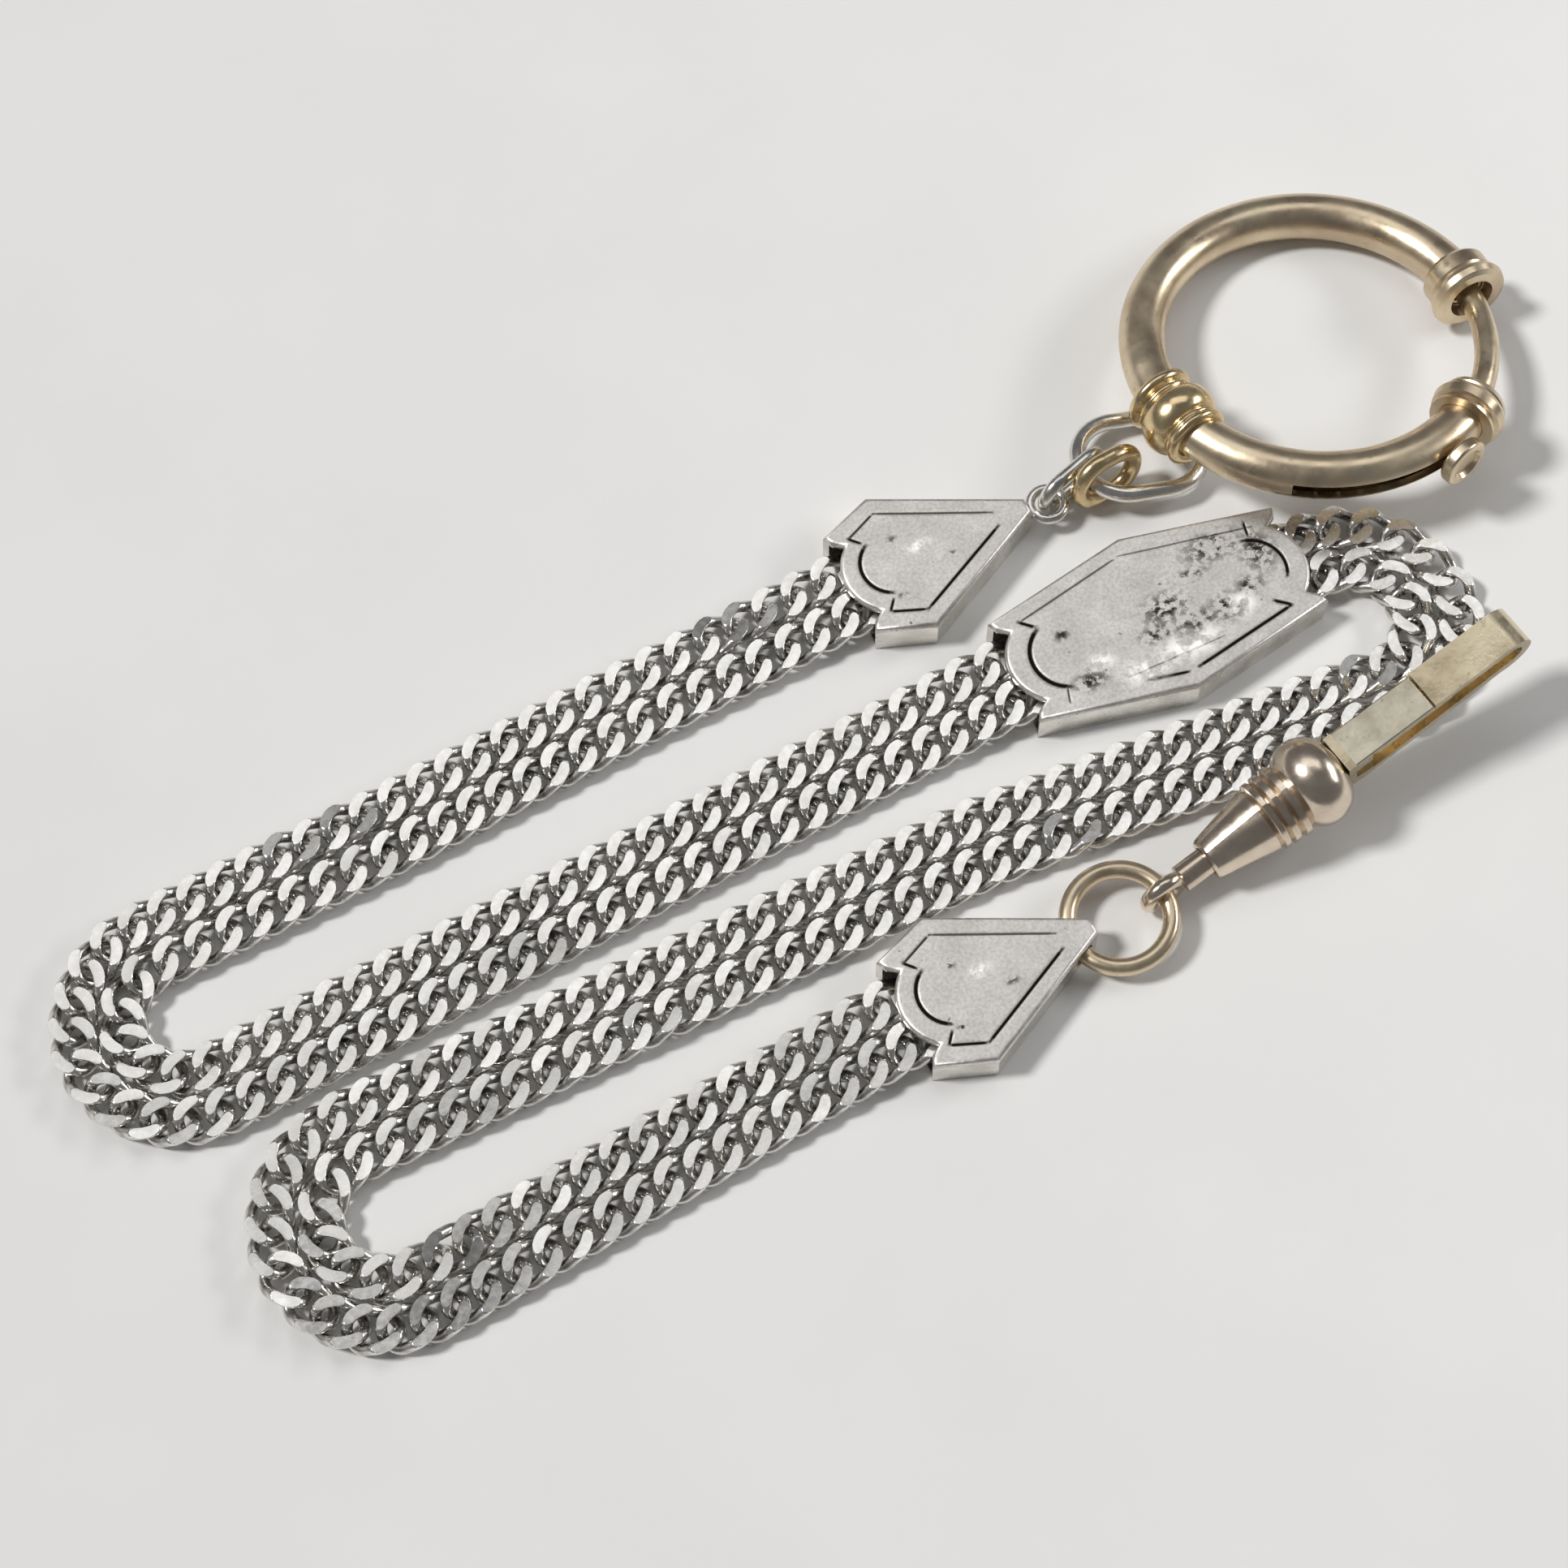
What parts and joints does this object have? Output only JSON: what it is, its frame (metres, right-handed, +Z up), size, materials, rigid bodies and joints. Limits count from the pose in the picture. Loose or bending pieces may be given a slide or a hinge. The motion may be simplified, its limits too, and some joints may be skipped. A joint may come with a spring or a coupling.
{
  "type": "pocket watch chain",
  "caption": "Double curb watch chain with engraved shield plates, laid in folds, with a bolt ring at one end and a swivel hook with a sprung tongue at the other.",
  "frame": {"origin": "centre of the box round the laid chain, on the surface it lies on", "axes": "+X along the chain's long runs towards the bolt ring, +Y away from the front run, +Z up off the surface"},
  "size_m": [0.0936, 0.0418, 0.0077],
  "materials": {
    "chain_silver": "polished silver, worn",
    "plate_silver": "engraved silver, tarnished in places",
    "ring_gilt": "worn rolled gold",
    "swivel_gilt": "worn rolled gold, pinkish",
    "hook_brass": "dull brass",
    "spring_steel": "bright steel"
  },
  "bodies": {
    "run_3": {"run_3_left_strand": "chain_silver", "run_3_right_strand": "chain_silver"},
    "turn_2": {"turn_2_left_strand": "chain_silver", "turn_2_right_strand": "chain_silver"},
    "middle_plate": {"middle_plate_base": "plate_silver", "middle_plate_cover": "plate_silver", "middle_plate_left_end_links": "chain_silver", "middle_plate_left_posts": "plate_silver", "middle_plate_right_end_links": "chain_silver", "middle_plate_right_posts": "plate_silver"},
    "run_2": {"run_2_left_strand": "chain_silver", "run_2_right_strand": "chain_silver"},
    "run_1_rear": {"run_1_rear_left_strand": "chain_silver", "run_1_rear_right_strand": "chain_silver"},
    "run_1_middle": {"run_1_middle_left_strand": "chain_silver", "run_1_middle_right_strand": "chain_silver"},
    "run_1_front": {"run_1_front_left_strand": "chain_silver", "run_1_front_right_strand": "chain_silver"},
    "shield_1": {"shield_1_anchor_posts": "plate_silver", "shield_1_base": "plate_silver", "shield_1_cover": "plate_silver", "shield_1_end_links": "chain_silver", "shield_1_tip_eye": "chain_silver"},
    "tip_link": {"tip_link": "chain_silver"},
    "oval_link": {"oval_link": "chain_silver"},
    "bolt_ring": {"ring_tube": "ring_gilt", "mouth_collar": "ring_gilt", "bolt_collar": "ring_gilt", "ring_sleeve": "ring_gilt", "ring_eye": "ring_gilt", "spring_stop": "spring_steel", "bolt_spring": "spring_steel"},
    "sliding_bolt": {"sliding_bolt": "ring_gilt", "thumb_knob": "ring_gilt"},
    "run_4_rear": {"run_4_rear_left_strand": "chain_silver", "run_4_rear_right_strand": "chain_silver"},
    "run_4_front": {"run_4_front_left_strand": "chain_silver", "run_4_front_right_strand": "chain_silver"},
    "shield_2": {"shield_2_anchor_posts": "plate_silver", "shield_2_base": "plate_silver", "shield_2_cover": "plate_silver", "shield_2_end_links": "chain_silver"},
    "jump_ring": {"jump_ring": "ring_gilt"},
    "swivel_eye": {"swivel_eye": "swivel_gilt"},
    "swivel": {"swivel_barrel": "swivel_gilt", "hook_bar": "hook_brass", "tongue_pin": "spring_steel"},
    "tongue": {"hook_tongue": "hook_brass"}
  },
  "joints": [
    {"name": "second_turn_fold", "type": "hinge", "parent": "run_3", "child": "turn_2", "pos_m": [0.03296, -0.00615, 0.00075], "axis": [1, 0, 0], "range_deg": [0, 10]},
    {"name": "plate_right_end_lift", "type": "hinge", "parent": "turn_2", "child": "middle_plate", "pos_m": [0.02823, -0.00158, 0.00105], "axis": [0, 1, 0], "range_deg": [0, 10]},
    {"name": "plate_left_end_dip", "type": "hinge", "parent": "middle_plate", "child": "run_2", "pos_m": [0.00845, -0.00088, 0.00105], "axis": [0, 1, 0], "range_deg": [-10, 0]},
    {"name": "first_turn_fold", "type": "hinge", "parent": "run_2", "child": "run_1_rear", "pos_m": [-0.04416, 0.00142, 0.00075], "axis": [1, 0, 0], "range_deg": [0, 10]},
    {"name": "run_1_rear_lift", "type": "hinge", "parent": "run_1_rear", "child": "run_1_middle", "pos_m": [-0.02626, 0.00647, 0.00075], "axis": [0.0551, -0.9985, 0], "range_deg": [0, 14]},
    {"name": "run_1_front_lift", "type": "hinge", "parent": "run_1_middle", "child": "run_1_front", "pos_m": [-0.01226, 0.00737, 0.00075], "axis": [0.0551, -0.9985, 0], "range_deg": [0, 14]},
    {"name": "shield_1_lift", "type": "hinge", "parent": "run_1_front", "child": "shield_1", "pos_m": [0.00274, 0.00807, 0.00105], "axis": [0, -1, 0], "range_deg": [0, 10]},
    {"name": "tip_link_swing", "type": "hinge", "parent": "shield_1", "child": "tip_link", "pos_m": [0.01634, 0.00807, 0.0012], "axis": [0, 0, 1], "range_deg": [0, 60]},
    {"name": "oval_link_lift", "type": "hinge", "parent": "tip_link", "child": "oval_link", "pos_m": [0.01924, 0.00897, 0.0016], "axis": [0.2902, -0.957, 0], "range_deg": [0, 30]},
    {"name": "bolt_ring_swing", "type": "hinge", "parent": "oval_link", "child": "bolt_ring", "pos_m": [0.02357, 0.0083, 0.0011], "axis": [0.1559, 0.0789, 0.9846], "range_deg": [0, 25]},
    {"name": "bolt_draw", "type": "hinge", "parent": "bolt_ring", "child": "sliding_bolt", "pos_m": [0.03463, 0.00979, 0.00298], "axis": [-0.0548, -0.1557, -0.9863], "range_deg": [0, 48], "stiffness_Nm_per_rad": 0.01, "springref_deg": -28.65, "deforming": ["bolt_spring"]},
    {"name": "third_turn_fold", "type": "hinge", "parent": "run_3", "child": "run_4_rear", "pos_m": [-0.03891, -0.01353, 0.00075], "axis": [-1, 0, 0], "range_deg": [0, 8]},
    {"name": "run_4_lift", "type": "hinge", "parent": "run_4_rear", "child": "run_4_front", "pos_m": [-0.02036, -0.01723, 0.00075], "axis": [0.0772, -0.997, 0], "range_deg": [0, 14]},
    {"name": "shield_2_lift", "type": "hinge", "parent": "run_4_front", "child": "shield_2", "pos_m": [-0.00616, -0.01613, 0.00105], "axis": [0, -1, 0], "range_deg": [0, 10]},
    {"name": "jump_ring_lift", "type": "hinge", "parent": "shield_2", "child": "jump_ring", "pos_m": [0.00499, -0.01613, 0.0011], "axis": [0, -1, 0], "range_deg": [0, 60]},
    {"name": "swivel_lift", "type": "hinge", "parent": "jump_ring", "child": "swivel_eye", "pos_m": [0.01057, -0.01593, 0.00149], "axis": [0.1478, -0.989, 0], "range_deg": [0, 50]},
    {"name": "swivel_spin", "type": "hinge", "parent": "swivel_eye", "child": "swivel", "pos_m": [0.01057, -0.01593, 0.00149], "axis": [0.9692, 0.1448, 0.1994], "continuous": true},
    {"name": "tongue_press", "type": "hinge", "parent": "swivel", "child": "tongue", "pos_m": [0.02281, -0.0141, 0.00484], "axis": [-0.1478, 0.989, 0], "range_deg": [0, 12], "stiffness_Nm_per_rad": 0.002, "springref_deg": -11.46}
  ]
}
